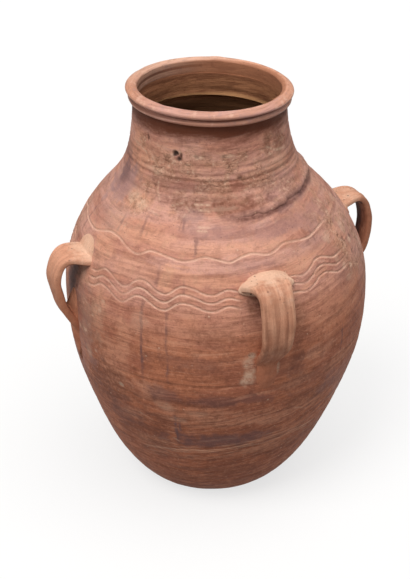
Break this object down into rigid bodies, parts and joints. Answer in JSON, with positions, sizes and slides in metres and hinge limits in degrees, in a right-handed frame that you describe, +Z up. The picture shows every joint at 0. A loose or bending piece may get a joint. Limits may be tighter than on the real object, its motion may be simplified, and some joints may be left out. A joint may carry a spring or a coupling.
{
  "type": "ceramic storage jar",
  "caption": "Large fired-clay storage jar with a wide belly, a collared open mouth, incised waves and upright strap handles on the shoulder.",
  "frame": {"origin": "middle of the flat foot, on the surface that the jar stands on", "axes": "+Z up along the jar's axis; -Y is the front, where the first of the handles is; +X is to the right seen from the front"},
  "size_m": [0.5652, 0.5668, 0.7],
  "materials": {
    "body_clay": "matt fired clay with wheel marks and weathering",
    "foot_clay": "matt fired clay, worn",
    "rim_clay": "matt fired clay, paler slip",
    "handle_clay": "matt fired clay, paler buff",
    "pad_clay": "matt fired clay, smeared"
  },
  "bodies": {
    "root": {"base_disc": "foot_clay", "foot_wall": "body_clay", "lower_wall": "body_clay", "belly_wall": "body_clay", "shoulder_wall": "body_clay", "neck_wall": "body_clay", "neck_seam_strip": "body_clay", "collar_ridge": "rim_clay", "lip_roll": "rim_clay", "front_handle_strap": "handle_clay", "front_handle_top_pad": "pad_clay", "front_handle_bottom_pad": "pad_clay", "right_handle_strap": "handle_clay", "right_handle_top_pad": "pad_clay", "right_handle_bottom_pad": "pad_clay", "back_handle_strap": "handle_clay", "back_handle_top_pad": "pad_clay", "back_handle_bottom_pad": "pad_clay", "left_handle_strap": "handle_clay", "left_handle_top_pad": "pad_clay", "left_handle_bottom_pad": "pad_clay"}
  },
  "joints": []
}
